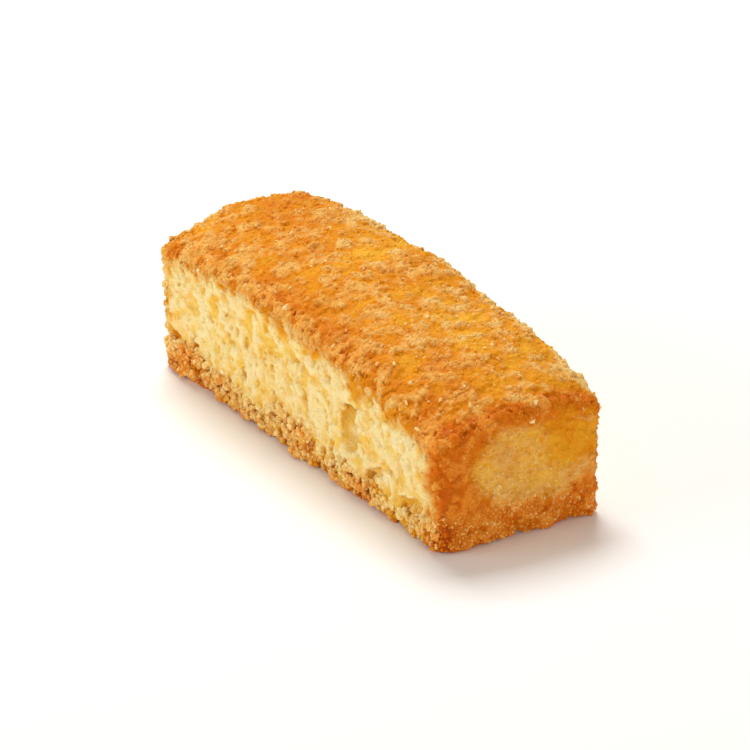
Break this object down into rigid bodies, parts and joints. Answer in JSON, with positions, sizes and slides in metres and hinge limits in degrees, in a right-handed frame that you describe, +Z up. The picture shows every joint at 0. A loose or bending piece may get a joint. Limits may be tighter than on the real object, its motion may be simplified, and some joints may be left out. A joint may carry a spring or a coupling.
{
  "type": "financier cake",
  "caption": "Small bar-shaped almond cake with a crowned golden crust, a pale torn crumb side and a craggy browned foot, resting on its flat base.",
  "frame": {"origin": "middle of the cake's flat foot, at the level it rests on", "axes": "+X along the bar towards the end that shows in the picture, -Y towards the long side that shows in the picture, +Z up"},
  "size_m": [0.0822, 0.03, 0.0263],
  "materials": {
    "golden_crust": "matt baked almond crumb, golden brown on top, with a slight buttery shine"
  },
  "bodies": {
    "root": {"financier_cake": "golden_crust"}
  },
  "joints": []
}
